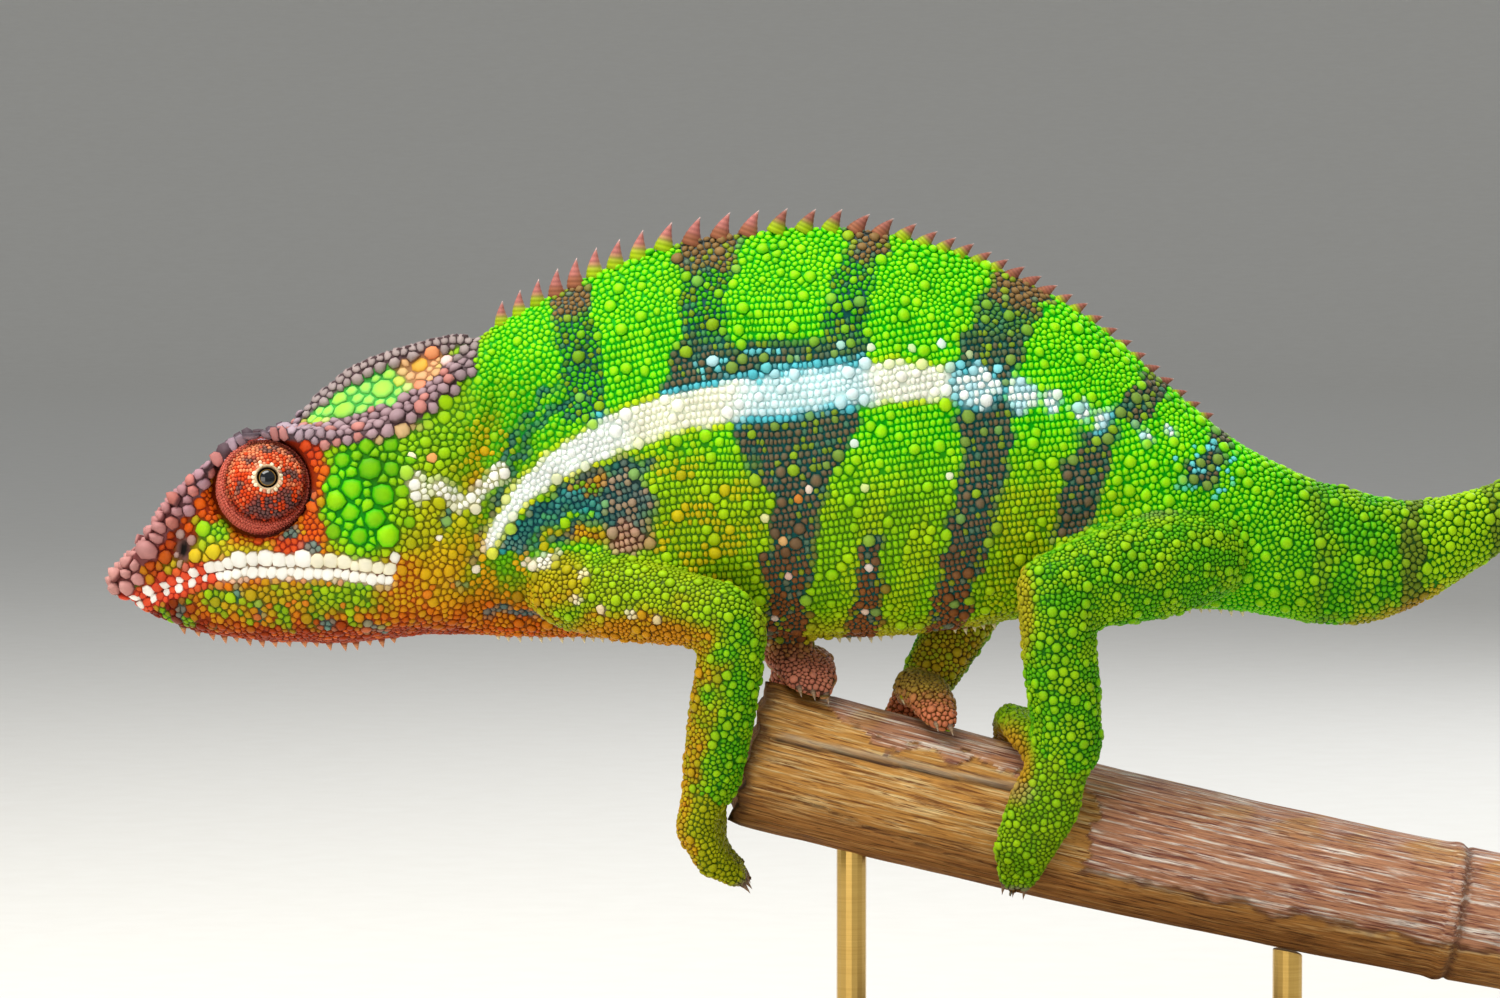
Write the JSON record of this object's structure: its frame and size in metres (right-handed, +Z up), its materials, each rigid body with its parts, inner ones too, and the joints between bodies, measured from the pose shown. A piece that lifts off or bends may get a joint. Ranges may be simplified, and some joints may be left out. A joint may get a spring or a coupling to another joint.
{
  "type": "panther chameleon model",
  "caption": "Life-size still model of a male panther chameleon gripping a cut length of cane, held by a plain display stand with upright rods.",
  "frame": {"origin": "middle of the underside of the stand's base, on the floor", "axes": "+X from the animal's head towards its tail, +Y towards the animal's right side, +Z up"},
  "size_m": [0.2883, 0.084, 0.1539],
  "materials": {
    "skin": "dry scaled reptile skin, bright green with dark bars and a white flank stripe, satin sheen on each scale",
    "crest": "mauve-grey conical scales over bony ridges, dull satin",
    "eyelid": "finely granular red-orange lid, satin",
    "eye": "wet glossy dark eye",
    "cane": "weathered dry cane, red-brown bark and bare straw-coloured wood with cracks along the grain, matt",
    "stand_wood": "dark stained hardwood, satin lacquer",
    "stand_brass": "brushed brass rod"
  },
  "bodies": {
    "root": {"head": "skin", "lower_jaw": "skin", "neck": "skin", "chest": "skin", "belly": "skin", "pelvis": "skin", "tail_root": "skin", "tail_arch": "skin", "tail_roll_outer": "skin", "tail_roll_inner": "skin", "upper_arm_front_left": "skin", "forearm_front_left": "skin", "hand_outer_front_left": "skin", "hand_inner_front_left": "skin", "upper_arm_front_right": "skin", "forearm_front_right": "skin", "hand_outer_front_right": "skin", "hand_inner_front_right": "skin", "thigh_rear_left": "skin", "shin_rear_left": "skin", "foot_outer_rear_left": "skin", "foot_inner_rear_left": "skin", "thigh_rear_right": "skin", "shin_rear_right": "skin", "foot_outer_rear_right": "skin", "foot_inner_rear_right": "skin", "crest_left": "crest", "crest_right": "crest", "crest_crown": "crest", "eyelid_left": "eyelid", "eyelid_right": "eyelid", "eye_left": "eye", "eye_right": "eye", "perch": "cane", "stand_base": "stand_wood", "stand_rod_1": "stand_brass", "stand_rod_2": "stand_brass"}
  },
  "joints": []
}
